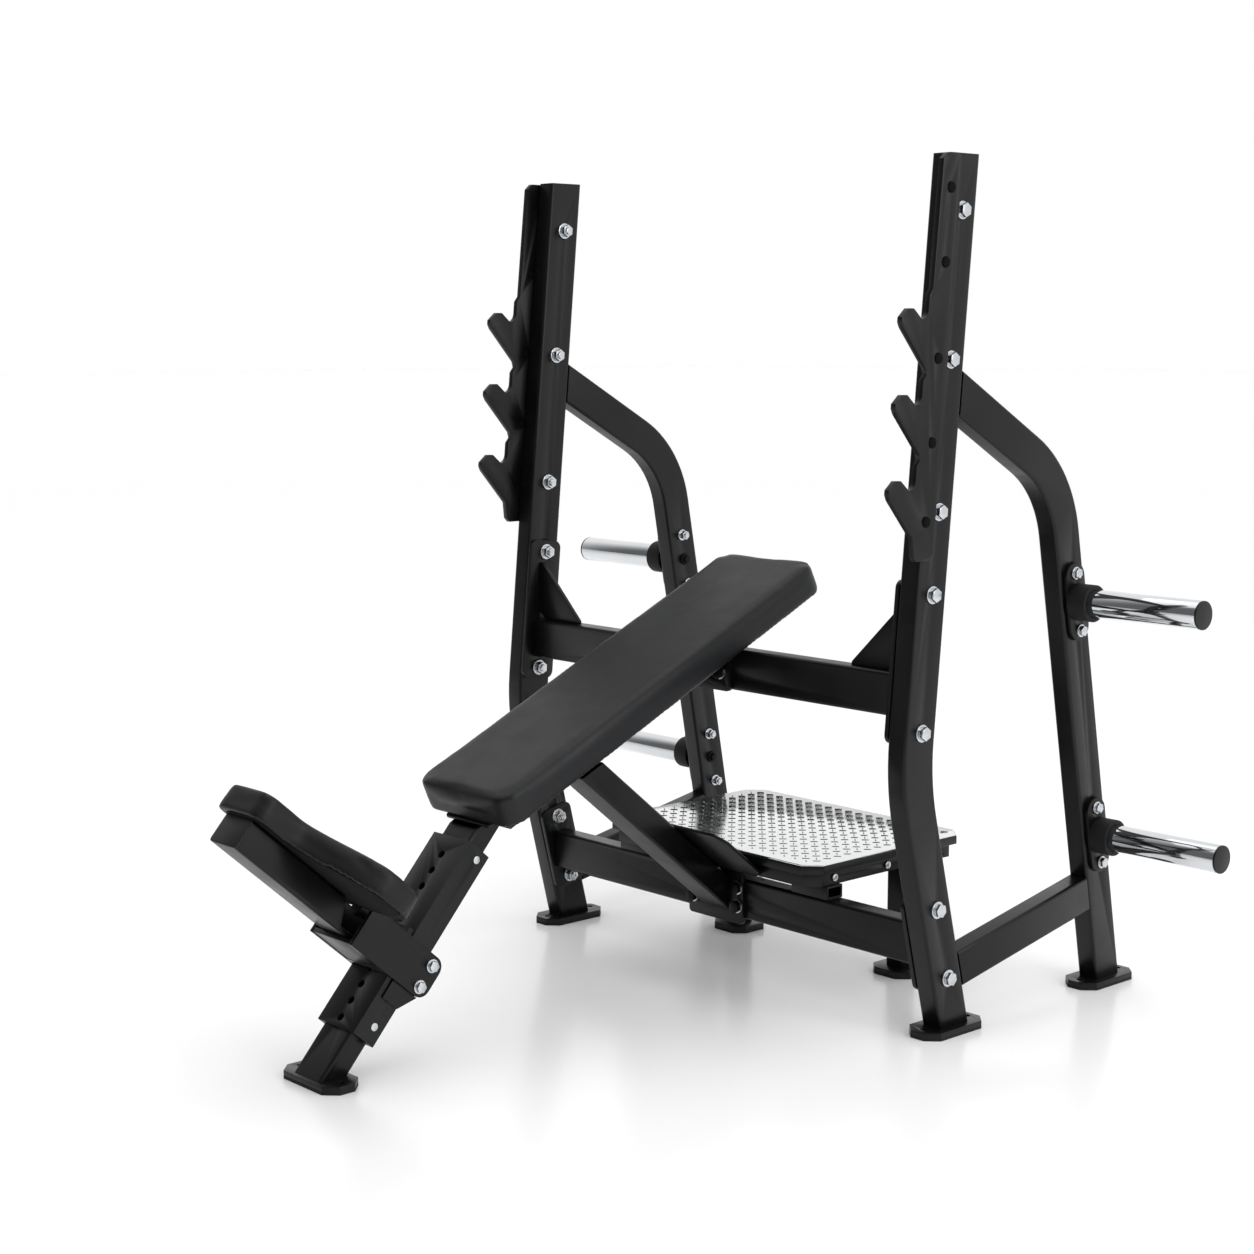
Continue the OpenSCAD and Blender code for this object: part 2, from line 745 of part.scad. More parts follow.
module platform_brackets() {
    x0 = plat_w / 2 - 93;
    x1 = plat_w / 2 - 5;
    color(black) for (side = [-1, 1]) outward(side) difference() {
        block([x0, low_bar_y - tube_w / 2, low_bar_top], [x1, low_bar_y + tube_w / 2, rails_z]);
        block([x0 - 1, low_bar_y - tube_w / 2 + 4, low_bar_top + 4],
            [x1 + 1, low_bar_y + tube_w / 2 - 4, rails_z - 4]);
    }
}

// Seat carriage: everything that slides on the guide.
module at_rollers() {
    on_post() for (u = roller_u) translate([0, roller_v, u]) children();
}
module at_pin() {
    on_post() translate([0, 0, pin_u]) children();
}
module seat_arm() {
    color(black) on_post() difference() {
        translate([0, 0, arm_u0 + arm_h / 2]) tube_y(arm_w, arm_h, arm_v0, front_v0);
        plate_yz(-arm_w, arm_w) polygon([[front_v0 + 1, arm_u0 + 9], [-128, arm_u0 + 9],
            [-152, arm_u1 + 1], [front_v0 + 1, arm_u1 + 1]]);
    }
}
module arm_end_cap() {
    color("#151515") on_post() translate([0, 0, arm_u0 + arm_h / 2]) {
        plate_xz(arm_v0 - 3, arm_v0) round_rect(arm_w, arm_h, tube_r);
        plate_xz(arm_v0, arm_v0 + 12)
            round_rect(arm_w - 2 * tube_wall - 1, arm_h - 2 * tube_wall - 1, 4);
    }
}
module cheek_outline() {
    r = 20;
    polygon(concat([[cheek_v0, cheek_u0], [cheek_v0, cheek_u1]],
        arc([cheek_v1 - r, cheek_u1 - r], r, 90, 0, 8),
        arc([cheek_v1 - r, cheek_u0 + r], r, 0, -90, 8)));
}
module carriage_cheeks() {
    color("#303030") difference() {
        on_post() for (side = [-1, 1]) outward(side)
            plate_yz(cheek_x, cheek_x + cheek_t) cheek_outline();
        at_rollers() rod_x(-80, 80, axle_r + bolt_gap);
    }
}
module carriage_plates() {
    color(black) difference() {
        on_post() {
            block([-cheek_x, front_v0, cheek_u0], [cheek_x, front_v1, front_u1]);
            block([-cheek_x, cheek_v0, arm_u0 - 8], [cheek_x, front_v0, arm_u0]);
            for (side = [-1, 1]) outward(side) plate_yz(cheek_x, cheek_x + 4)
                polygon([[5, cheek_u0], [5, cheek_u0 - 34], [43, cheek_u0 - 34], [66, cheek_u0]]);
        }
        at_pin() rod_y(front_v0 - 1, front_v1 + 1, housing_r - 3);
    }
}
module slide_pads() {
    color("#e8e6df") difference() {
        on_post() block([-44, front_v1, cheek_u0 + 4],
            [44, -guide_front_t - roller_gap, front_u1 - 4]);
        at_pin() rod_y(front_v1 - 1, 0, hole_d / 2);
    }
}
module roller_bolts() {
    color(zinc) at_rollers() {
        rod_x(-cheek_x - cheek_t - axle_tail, cheek_x + cheek_t + washer_t, axle_r);
        hex_x(cheek_x + cheek_t + washer_t, cheek_x + cheek_t + washer_t + 6.5, 3.4 * axle_r);
    }
}
module roller_washers() {
    x = cheek_x + cheek_t;
    color(zinc) at_rollers() difference() {
        union() {
            rod_x(x, x + washer_t, 11.5);
            rod_x(-x - washer_t, -x, 11.5);
            hex_x(-x - washer_t - 8, -x - washer_t, 3.4 * axle_r);
        }
        rod_x(-90, 90, axle_r + nut_gap);
    }
}
module roller(u) {
    x = guide_w / 2 - 0.5;
    color("#d8d4c8") on_post() translate([0, roller_v, u]) difference() {
        rod_x(-x, x, roller_r);
        rod_x(-x - 1, x + 1, axle_r + nut_gap);
    }
}

// Half width of the seat along its length: a narrow nose that flares to a wide, rounded rear.
function corner(d, r) = d >= r ? 0 : r - sqrt(max(0, r * r - (r - d) * (r - d)));
function seat_half(v) = seat_nose_w / 2 + 0.03 * (v - seat_v0)
    + (seat_w / 2 - seat_nose_w / 2 - 6) * smooth((v - seat_v0 - 72) / 130)
    - corner(v - seat_v0, 22) - corner(seat_v0 + seat_len - v, 56);
module seat_outline(inset) {
    rows = [for (i = [0:40]) seat_v0 + seat_len * (1 - cos(4.5 * i)) / 2];
    right = [for (v = rows) [max(1, seat_half(v) - inset),
        v + (v < seat_v0 + seat_len / 2 ? inset : -inset) * (1 - smooth(min(v - seat_v0,
            seat_v0 + seat_len - v) / 40))]];
    polygon(concat(right, [for (i = [40:-1:0]) [-right[i][0], right[i][1]]]));
}
module seat_board() {
    color("#8a6a48") on_post() translate([0, 0, arm_u1]) linear_extrude(seat_board_t)
        seat_outline(board_inset);
}
module seat_pad() {
    color("#1d1e20") on_post() translate([0, 0, arm_u1]) difference() {
        linear_extrude(seat_t) seat_outline(0);
        translate([0, 0, -1]) linear_extrude(seat_board_t + 1) seat_outline(board_inset);
    }
}

// Pop pin, shown drawn out by its full stroke.
module pin_housing() {
    color("#9a9da1") at_pin() difference() {
        union() {
            rod_y(front_v0 - housing_len, front_v0, housing_r);
            rod_y(front_v0, front_v1, housing_r - 3.05);
        }
        rod_y(front_v0 - housing_len - 1, front_v1 + 1, pin_r + pin_clear);
    }
}
module pin_plunger() {
    color(zinc) at_pin()
        rod_y(knob_v - knob_len + 3, -guide_front_t - 1, pin_r);
}
module pin_knob() {
    color("#17181a") at_pin() difference() {
        union() {
            rod_y(knob_v - knob_len, knob_v - knob_len + 12, knob_r);
            rod_y(knob_v - knob_len + 12, knob_v, knob_r - 4);
        }
        rod_y(knob_v - knob_len + 3, knob_v + 1, pin_r);
    }
}

upright(-1);  // upright_left
upright(1);  // upright_right
rear_leg(-1);  // rear_leg_left
rear_leg(1);  // rear_leg_right
side_rail(-1);  // side_rail_left
side_rail(1);  // side_rail_right
hook_plate(-1);  // hook_plate_left
hook_plate(1);  // hook_plate_right
hook_plugs();
upright_caps();
mid_crossbar();
lower_crossbar();
bar_flanges();
gusset_plates();
foot_plates();
foot_pads();
frame_bolts();
frame_washers();
frame_nuts();
peg_flanges();
plate_pegs();
peg_collars();
peg_end_caps();
peg_plugs();
peg_centre_bolts();
peg_bolts();
peg_washers();
seat_post();
seat_guide();
guide_strips();
guide_screws();
spine();
spine_flange();
pad_brackets();
brace();
brace_flange();
brace_tie_plate();
flange_bolts();
back_board();
back_pad();
platform_plate();
platform_rim();
platform_rails();
platform_legs();
platform_brackets();
platform_bolts();
seat_arm();
arm_end_cap();
carriage_cheeks();
carriage_plates();
slide_pads();
roller_bolts();
roller_washers();
seat_board();
seat_pad();
pin_housing();
pin_plunger();
pin_knob();
roller(roller_u[1]);  // roller_upper
roller(roller_u[0]);  // roller_lower
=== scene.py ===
"""Looks of the incline olympic bench press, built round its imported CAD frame.

Each sub-assembly is a class that models its pieces and dresses them. Lengths are metres,
and a field whose name ends in _mm is in millimetres.
"""

import json
import logging
import math
from dataclasses import dataclass, field
from enum import Enum
from typing import Any, Iterable, Sequence

import bpy
from mathutils import Matrix, Vector

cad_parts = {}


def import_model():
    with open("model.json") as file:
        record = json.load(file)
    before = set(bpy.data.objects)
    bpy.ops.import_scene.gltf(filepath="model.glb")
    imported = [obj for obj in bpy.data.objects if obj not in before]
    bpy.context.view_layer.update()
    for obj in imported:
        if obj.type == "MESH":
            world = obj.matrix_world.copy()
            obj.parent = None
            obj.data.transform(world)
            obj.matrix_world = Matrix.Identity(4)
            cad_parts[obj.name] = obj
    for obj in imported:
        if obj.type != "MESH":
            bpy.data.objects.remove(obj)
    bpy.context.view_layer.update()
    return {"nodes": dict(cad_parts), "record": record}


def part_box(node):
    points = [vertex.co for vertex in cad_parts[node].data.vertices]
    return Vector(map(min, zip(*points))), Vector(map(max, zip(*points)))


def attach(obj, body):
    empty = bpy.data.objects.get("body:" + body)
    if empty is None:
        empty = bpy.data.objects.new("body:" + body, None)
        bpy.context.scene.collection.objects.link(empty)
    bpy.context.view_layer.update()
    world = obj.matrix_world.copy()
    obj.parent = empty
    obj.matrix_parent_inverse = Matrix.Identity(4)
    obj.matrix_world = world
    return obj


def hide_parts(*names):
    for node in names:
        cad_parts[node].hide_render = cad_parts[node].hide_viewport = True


LOG = logging.getLogger("bench")
MM = 0.001

# A CAD node is loose triangles: corners this close are one, and faces this flat are one.
WELD_MM = 0.02
FLAT_DEG = 0.6
# Edges sharper than this are rounded, and faces meeting flatter than that shade as one.
SHARP_DEG = 40.0
SHADE_DEG = 32.0
# A wave texture of scale 1 repeats every 0.314 m.
WAVE_M = 0.314
# The back pad rises along its spine, and the seat slides along its post.
BACK_TILT_DEG = 24.95
BACK_FOOT = (0, -0.356, 0.446)
POST_TILT_DEG = 41.3
POST_FOOT = (0, -0.6896, 0)
# The numbered sockets of a colour Mix node, a float Mix node and a Map Range node.
TONE_A, TONE_B, TONE_OUT = 6, 7, 2
FLOAT_A, FLOAT_B = 2, 3
FROM_LOW, FROM_HIGH, TO_LOW, TO_HIGH = 1, 2, 3, 4


# ---------------------------------------------------------------- colour and nodes


def linear(hex_colour: str) -> tuple[float, float, float, float]:
    """Turns an sRGB hex colour into the linear colour that Blender's sockets take.

    Args:
        hex_colour: six hex digits, with or without a leading hash.

    Returns:
        Red, green, blue and an alpha of 1, all linear.
    """
    digits = hex_colour.lstrip("#")
    channels = [int(digits[i : i + 2], 16) / 255 for i in (0, 2, 4)]
    flat = [c / 12.92 if c <= 0.04045 else ((c + 0.055) / 1.055) ** 2.4 for c in channels]
    return (flat[0], flat[1], flat[2], 1.0)


def add_node(
    tree: bpy.types.NodeTree,
    kind: str,
    settings: dict[str, Any] | None = None,
    values: dict[Any, Any] | None = None,
    links: dict[Any, bpy.types.NodeSocket] | None = None,
) -> bpy.types.Node:
    """Adds one node with its settings, socket values and incoming links.

    Args:
        tree: the node tree that gets the node.
        kind: Blender's name for the node type.
        settings: attributes of the node itself.
        values: default values of its inputs, by socket name or number.
        links: the output socket that feeds each input, by socket name or number.

    Returns:
        The new node.
    """
    node = tree.nodes.new(kind)
    for key, value in (settings or {}).items():
        setattr(node, key, value)
    for key, value in (values or {}).items():
        node.inputs[key].default_value = value
    for key, socket in (links or {}).items():
        tree.links.new(socket, node.inputs[key])
    return node


# ---------------------------------------------------------------- finishes


@dataclass(frozen=True)
class Finish:
    """What every finish shares: two close tones, a mottled gloss and a fine relief."""

    name: str
    tone: str
    tone_2: str
    roughness: float
    roughness_2: float
    metallic: float = 0.0
    ior: float = 1.5
    mottle_mm: float = 60.0
    grain_mm: float = 3.0
    relief_mm: float = 0.05
    relief_strength: float = 0.2

    def relief(self, tree: bpy.types.NodeTree, place: bpy.types.NodeSocket) -> bpy.types.NodeSocket:
        """Draws the surface's fine height pattern.

        Args:
            tree: the material's node tree.
            place: the object coordinates.

        Returns:
            The height socket.
        """
        noise = add_node(
            tree,
            "ShaderNodeTexNoise",
            values={"Scale": 1 / (self.grain_mm * MM), "Detail": 3.0, "Roughness": 0.55},
            links={"Vector": place},
        )
        return noise.outputs["Fac"]

    def material(self) -> bpy.types.Material:
        """Builds the material's nodes, once for each name.

        Returns:
            The material, new or already made.
        """
        known = bpy.data.materials.get(self.name)
        if known is not None:
            return known
        material = bpy.data.materials.new(self.name)
        material.use_nodes = True
        tree = material.node_tree
        tree.nodes.clear()
        place = add_node(tree, "ShaderNodeTexCoord").outputs["Object"]
        mottle = add_node(
            tree,
            "ShaderNodeTexNoise",
            values={"Scale": 1 / (self.mottle_mm * MM), "Detail": 4.0, "Roughness": 0.6},
            links={"Vector": place},
        ).outputs["Fac"]
        tone = add_node(
            tree,
            "ShaderNodeMix",
            {"data_type": "RGBA"},
            {TONE_A: linear(self.tone), TONE_B: linear(self.tone_2)},
            {0: mottle},
        )
        gloss = add_node(
            tree,
            "ShaderNodeMapRange",
            values={
                FROM_LOW: 0.3,
                FROM_HIGH: 0.7,
                TO_LOW: self.roughness,
                TO_HIGH: self.roughness_2,
            },
            links={0: mottle},
        )
        bump = add_node(
            tree,
            "ShaderNodeBump",
            values={"Strength": self.relief_strength, "Distance": self.relief_mm * MM},
            links={"Height": self.relief(tree, place)},
        )
        shader = add_node(
            tree,
            "ShaderNodeBsdfPrincipled",
            values={"Metallic": self.metallic, "IOR": self.ior},
            links={
                "Base Color": tone.outputs[TONE_OUT],
                "Roughness": gloss.outputs[0],
                "Normal": bump.outputs["Normal"],
            },
        )
        add_node(tree, "ShaderNodeOutputMaterial", links={"Surface": shader.outputs[0]})
        return material


@dataclass(frozen=True)
class GrainedVinyl(Finish):
    """PVC leathercloth, embossed with a pebble grain between fine creases."""

    pebble_mm: float = 2.6

    def relief(self, tree: bpy.types.NodeTree, place: bpy.types.NodeSocket) -> bpy.types.NodeSocket:
        """Draws pebbles with the noise of the cloth beneath them.

        Args:
            tree: the material's node tree.
            place: the object coordinates.

        Returns:
            The height socket.
        """
        pebbles = add_node(
            tree,
            "ShaderNodeTexVoronoi",
            {"feature": "SMOOTH_F1"},
            {"Scale": 1 / (self.pebble_mm * MM), "Smoothness": 0.4},
            {"Vector": place},
        ).outputs["Distance"]
        cloth = Finish.relief(self, tree, place)
        mix = add_node(
            tree, "ShaderNodeMath", {"operation": "MULTIPLY_ADD"}, {1: 0.6}, {0: pebbles, 2: cloth}
        )
        return mix.outputs[0]


@dataclass(frozen=True)
class TurnedMetal(Finish):
    """Plated or polished bar with faint rings left round its axis by turning."""

    ring_mm: float = 4.0

    def relief(self, tree: bpy.types.NodeTree, place: bpy.types.NodeSocket) -> bpy.types.NodeSocket:
        """Draws rings across X, the axis of the turned bars.

        Args:
            tree: the material's node tree.
            place: the object coordinates.

        Returns:
            The height socket.
        """
        rings = add_node(
            tree,
            "ShaderNodeTexWave",
            {"bands_direction": "X"},
            {"Scale": WAVE_M / (self.ring_mm * MM), "Distortion": 2.0, "Detail": 2.0},
            {"Vector": place},
        )
        return rings.outputs["Fac"]


@dataclass(frozen=True)
class FeltedSheet(Finish):
    """Thin non-woven cloth, thermally bonded in a grid of small pressed dots."""

    dot_mm: float = 3.5

    def relief(self, tree: bpy.types.NodeTree, place: bpy.types.NodeSocket) -> bpy.types.NodeSocket:
        """Draws the bonding dots among the loose fibres.

        Args:
            tree: the material's node tree.
            place: the object coordinates.

        Returns:
            The height socket.
        """
        dots = add_node(
            tree,
            "ShaderNodeTexVoronoi",
            {"feature": "F1"},
            {"Scale": 1 / (self.dot_mm * MM), "Randomness": 0.15},
            {"Vector": place},
        ).outputs["Distance"]
        fibres = Finish.relief(self, tree, place)
        mix = add_node(
            tree, "ShaderNodeMath", {"operation": "MULTIPLY_ADD"}, {1: 0.5}, {0: fibres, 2: dots}
        )
        return mix.outputs[0]


class Finishes(Enum):
    """The finishes of this bench, named for what each surface is made of."""

    # Epoxy-polyester powder, baked on steel: satin black with a soft orange-peel.
    POWDER_COAT = Finish(
        "satin_black_powder_coat", "#050505", "#090909", 0.28, 0.38, ior=1.36, grain_mm=3.2,
        relief_mm=0.12,
    )
    # The same powder in a thinner coat over the guide's milled plates.
    GUIDE_COAT = Finish(
        "thin_black_powder_coat", "#0a0a0b", "#0f0f10", 0.32, 0.42, ior=1.38, grain_mm=2.4,
        relief_mm=0.08,
    )
    # Bright zinc plate on pressed steel: even, cool and slightly cloudy.
    BRIGHT_ZINC = Finish(
        "bright_zinc_plate", "#d4d7da", "#bfc3c7", 0.18, 0.30, 1.0, mottle_mm=9.0, grain_mm=1.5
    )
    # Hard chrome over ground tube: a dark mirror with faint turning rings.
    HARD_CHROME = TurnedMetal(
        "hard_chrome", "#e2e4e6", "#d3d6d9", 0.05, 0.10, 1.0, relief_mm=0.01, relief_strength=0.1
    )
    # Moulded nitrile rubber: matt, with a sandy mould texture.
    RUBBER = Finish(
        "moulded_rubber", "#0c0c0d", "#121213", 0.62, 0.74, ior=1.40, grain_mm=1.8,
        relief_mm=0.15,
    )
    # Injection-moulded polyethylene caps and knobs: a soft sheen over spark-eroded texture.
    MOULDED_PE = Finish(
        "moulded_polyethylene", "#0b0b0c", "#111112", 0.42, 0.52, ior=1.42, grain_mm=1.6
    )
    # Sunk blind plugs: matt polyethylene, coloured near black as painted shade for the holes they
    # sit in.
    BLIND_PLUG = Finish(
        "plug_polyethylene_painted_shade", "#020202", "#040404", 0.70, 0.80, ior=1.2, grain_mm=1.6
    )
    # Cast polyamide rollers and slide pads: ivory and waxy.
    POLYAMIDE = Finish("cast_polyamide", "#d9d4c4", "#cbc5b3", 0.42, 0.50, ior=1.53, grain_mm=2.0)
    # Rolled tear-plate in bright steel: a polished field that mirrors the room.
    TREAD_STEEL = Finish(
        "rolled_tread_steel", "#f2f3f3", "#e2e3e3", 0.10, 0.20, 1.0, mottle_mm=22.0, grain_mm=5.0
    )
    # The raised lands are coloured darker than the plate: partly for the dirt held at their foot,
    # partly as a painted reflection of the dark room.
    TREAD_LAND = Finish(
        "tread_lands_dirt_and_painted_reflection", "#85888a", "#5f6264", 0.12, 0.24, 1.0, mottle_mm=14.0, grain_mm=4.0
    )
    # Black oxide on bolt steel: an oily black with a low, soft gloss.
    BLACK_OXIDE = Finish(
        "black_oxide_steel", "#1c1c1d", "#141415", 0.30, 0.42, mottle_mm=6.0, grain_mm=1.5
    )
    # Spun-bonded polypropylene stapled over the pads' boards against dust: a flat black felt.
    DUST_COVER = FeltedSheet(
        "black_dust_cover", "#0b0b0c", "#121213", 0.86, 0.95, ior=1.3, relief_mm=0.2,
        relief_strength=0.4,
    )
    # Pebble-grained vinyl of the back pad: a cold black, softly shining.
    BACK_VINYL = GrainedVinyl(
        "black_grained_vinyl", "#0c0d10", "#111215", 0.40, 0.50, ior=1.40, relief_mm=0.25,
        relief_strength=0.30,
    )
    # The seat's vinyl is the same cloth, coloured a little darker as painted shade.
    SEAT_VINYL = GrainedVinyl(
        "seat_vinyl_painted_shade", "#080809", "#0d0d0e", 0.42, 0.52, ior=1.38, relief_mm=0.25,
        relief_strength=0.30,
    )


# ---------------------------------------------------------------- modelling helpers


def deselect_all() -> None:
    """Leaves nothing selected and no object in edit mode."""
    if bpy.context.object is not None and bpy.context.object.mode != "OBJECT":
        bpy.ops.object.mode_set(mode="OBJECT")
    bpy.ops.object.select_all(action="DESELECT")


def work_on(piece: bpy.types.Object) -> None:
    """Selects one piece alone and makes it the active one."""
    deselect_all()
    piece.select_set(True)
    bpy.context.view_layer.objects.active = piece


def settle(piece: bpy.types.Object) -> None:
    """Puts a piece's place, turn and size into its mesh."""
    work_on(piece)
    bpy.ops.object.transform_apply(location=True, rotation=True, scale=True)


def apply_modifier(piece: bpy.types.Object, kind: str, **settings: Any) -> None:
    """Adds a modifier with its settings and applies it.

    Args:
        piece: the object that gets it.
        kind: Blender's name for the modifier type.
        **settings: attributes of the modifier.
    """
    work_on(piece)
    modifier = piece.modifiers.new(kind.lower(), kind)
    for key, value in settings.items():
        setattr(modifier, key, value)
    bpy.ops.object.modifier_apply(modifier=modifier.name)


def smooth(piece: bpy.types.Object, angle_deg: float = SHADE_DEG) -> None:
    """Shades a piece smooth up to an angle between its faces."""
    work_on(piece)
    bpy.ops.object.shade_smooth_by_angle(angle=math.radians(angle_deg))


def turned(x_deg: float, origin: Sequence[float]) -> Matrix:
    """Gives the frame that stands at an origin, tilted about X."""
    return Matrix.Translation(Vector(origin)) @ Matrix.Rotation(math.radians(x_deg), 4, "X")


@dataclass
class Bench:
    """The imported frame, with the few lookups that every sub-assembly needs."""

    nodes: dict[str, bpy.types.Object]
    record: dict[str, Any]

    def body_of(self, node: str) -> str:
        """Names the rigid body that a CAD node belongs to."""
        bodies = self.record["behaviour"]["bodies"]
        return next(body for body, members in bodies.items() if node in members)

    def welded_copy(self, node: str, name: str) -> bpy.types.Object:
        """Copies a CAD node and merges its loose triangles into clean faces.

        Args:
            node: the CAD node.
            name: the new piece's name.

        Returns:
            The copy, with no parent and nothing applied to the node itself.
        """
        source = self.nodes[node]
        piece = source.copy()
        piece.data = source.data.copy()
        piece.name = name
        piece.parent = None
        piece.matrix_world = source.matrix_world.copy()
        bpy.context.collection.objects.link(piece)
        piece.data.materials.clear()
        work_on(piece)
        bpy.ops.object.mode_set(mode="EDIT")
        bpy.ops.mesh.select_all(action="SELECT")
        bpy.ops.mesh.remove_doubles(threshold=WELD_MM * MM)
        bpy.ops.mesh.dissolve_limited(angle_limit=math.radians(FLAT_DEG))
        bpy.ops.object.mode_set(mode="OBJECT")
        return piece

    def fit(self, piece: bpy.types.Object, finish: Finishes, stands_for: str) -> None:
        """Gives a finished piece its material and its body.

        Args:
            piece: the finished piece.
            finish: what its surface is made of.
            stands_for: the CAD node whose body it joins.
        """
        piece.data.materials.clear()
        piece.data.materials.append(finish.value.material())
        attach(piece, self.body_of(stands_for))
        LOG.info("%s: %s faces, %s", piece.name, len(piece.data.polygons), finish.name.lower())

    def ease(self, node: str, finish: Finishes, edge_mm: float) -> None:
        """Stands a copy with eased edges in for a sharp-edged CAD node.

        Args:
            node: the CAD node.
            finish: what its surface is made of.
            edge_mm: the width of the rounded edge.
        """
        piece = self.welded_copy(node, f"{node}_eased")
        apply_modifier(
            piece,
            "BEVEL",
            width=edge_mm * MM,
            segments=2,
            limit_method="ANGLE",
            angle_limit=math.radians(SHARP_DEG),
            use_clamp_overlap=True,
        )
        smooth(piece)
        self.fit(piece, finish, node)
        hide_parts(node)

    def span_in(self, node: str, local: Matrix) -> tuple[Vector, Vector]:
        """Measures a node along the axes of a tilted frame.

        Args:
            node: the CAD node.
            local: the frame to measure in.

        Returns:
            The lowest and the highest corner, in that frame.
        """
        back = local.inverted()
        points = [back @ v.co for v in self.nodes[node].data.vertices]
        low = Vector(min(p[i] for p in points) for i in range(3))
        high = Vector(max(p[i] for p in points) for i in range(3))
        return low, high


# ---------------------------------------------------------------- sub-assemblies


@dataclass
class SteelFrame:
    """Uprights, legs, rails, crossbars and the plates that join them."""

    tube_edge_mm: float = 0.6
    plate_edge_mm: float = 1.2
    moulded_edge_mm: float = 0.8
    tubes: tuple[str, ...] = (
        "upright_left", "upright_right", "rear_leg_left", "rear_leg_right", "side_rail_left",
        "side_rail_right", "mid_crossbar", "lower_crossbar", "seat_post", "spine", "brace",
    )
    plates: tuple[str, ...] = (
        "hook_plate_left", "hook_plate_right", "bar_flanges", "gusset_plates", "foot_plates",
        "spine_flange", "pad_brackets", "brace_flange", "brace_tie_plate",
    )
    moulded: dict[str, Finishes] = field(
        default_factory=lambda: {
            "upright_caps": Finishes.MOULDED_PE,
            "hook_plugs": Finishes.BLIND_PLUG,
            "foot_pads": Finishes.RUBBER,
        }
    )

    def build(self, bench: Bench) -> None:
        """Eases every edge of the frame and coats it.

        Args:
            bench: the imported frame.
        """
        for node in self.tubes:
            bench.ease(node, Finishes.POWDER_COAT, self.tube_edge_mm)
        for node in self.plates:
            bench.ease(node, Finishes.POWDER_COAT, self.plate_edge_mm)
        for node, finish in self.moulded.items():
            bench.ease(node, finish, self.moulded_edge_mm)


@dataclass
class Fasteners:
    """Bolts, nuts and washers, whose heads and rims are chamfered."""

    chamfer_mm: float = 1.1
    rim_mm: float = 0.5
    bolted: tuple[str, ...] = (
        "frame_bolts", "peg_bolts", "frame_nuts", "roller_bolts", "guide_screws",
        "platform_bolts",
    )
    blackened: tuple[str, ...] = ("flange_bolts", "peg_centre_bolts")
    rims: tuple[str, ...] = ("frame_washers", "peg_washers", "roller_washers")

    def build(self, bench: Bench) -> None:
        """Chamfers the fasteners, plates most with zinc and blackens the rest.

        Args:
            bench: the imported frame.
        """
        for node in self.bolted:
            bench.ease(node, Finishes.BRIGHT_ZINC, self.chamfer_mm)
        for node in self.blackened:
            bench.ease(node, Finishes.BLACK_OXIDE, self.chamfer_mm)
        for node in self.rims:
            bench.ease(node, Finishes.BRIGHT_ZINC, self.rim_mm)


@dataclass
class PlatePegs:
    """The four chromed pegs with their flanges, collars and end caps."""

    edge_mm: float = 1.0
    finishes: dict[str, Finishes] = field(
        default_factory=lambda: {
            "plate_pegs": Finishes.HARD_CHROME,
            "peg_flanges": Finishes.POWDER_COAT,
            "peg_plugs": Finishes.POWDER_COAT,
            "peg_collars": Finishes.RUBBER,
            "peg_end_caps": Finishes.MOULDED_PE,
        }
    )

    def build(self, bench: Bench) -> None:
        """Eases the rims of the pegs' pieces.

        Args:
            bench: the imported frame.
        """
        for node, finish in self.finishes.items():
            bench.ease(node, finish, self.edge_mm)


@dataclass
class SeatCarriage:
    """What slides on the post, the guide that it slides on, and the pop pin."""

    steel: tuple[str, ...] = ("seat_arm", "carriage_plates", "carriage_cheeks")
    guide: tuple[str, ...] = ("seat_guide", "guide_strips")
    ivory: tuple[str, ...] = ("slide_pads", "roller_upper", "roller_lower")
    small: tuple[tuple[str, Finishes, float], ...] = (
        ("arm_end_cap", Finishes.MOULDED_PE, 1.2),
        ("pin_housing", Finishes.BRIGHT_ZINC, 0.8),
        ("pin_plunger", Finishes.BRIGHT_ZINC, 1.0),
        ("pin_knob", Finishes.MOULDED_PE, 3.0),
    )
    steel_edge_mm: float = 1.0
    fine_edge_mm: float = 0.8

    def build(self, bench: Bench) -> None:
        """Eases and coats the carriage's pieces.

        Args:
            bench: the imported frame.
        """
        for node in self.steel:
            bench.ease(node, Finishes.POWDER_COAT, self.steel_edge_mm)
        for node in self.guide:
            bench.ease(node, Finishes.GUIDE_COAT, self.fine_edge_mm)
        for node in self.ivory:
            bench.ease(node, Finishes.POLYAMIDE, self.fine_edge_mm)
        for node, finish, edge_mm in self.small:
            bench.ease(node, finish, edge_mm)


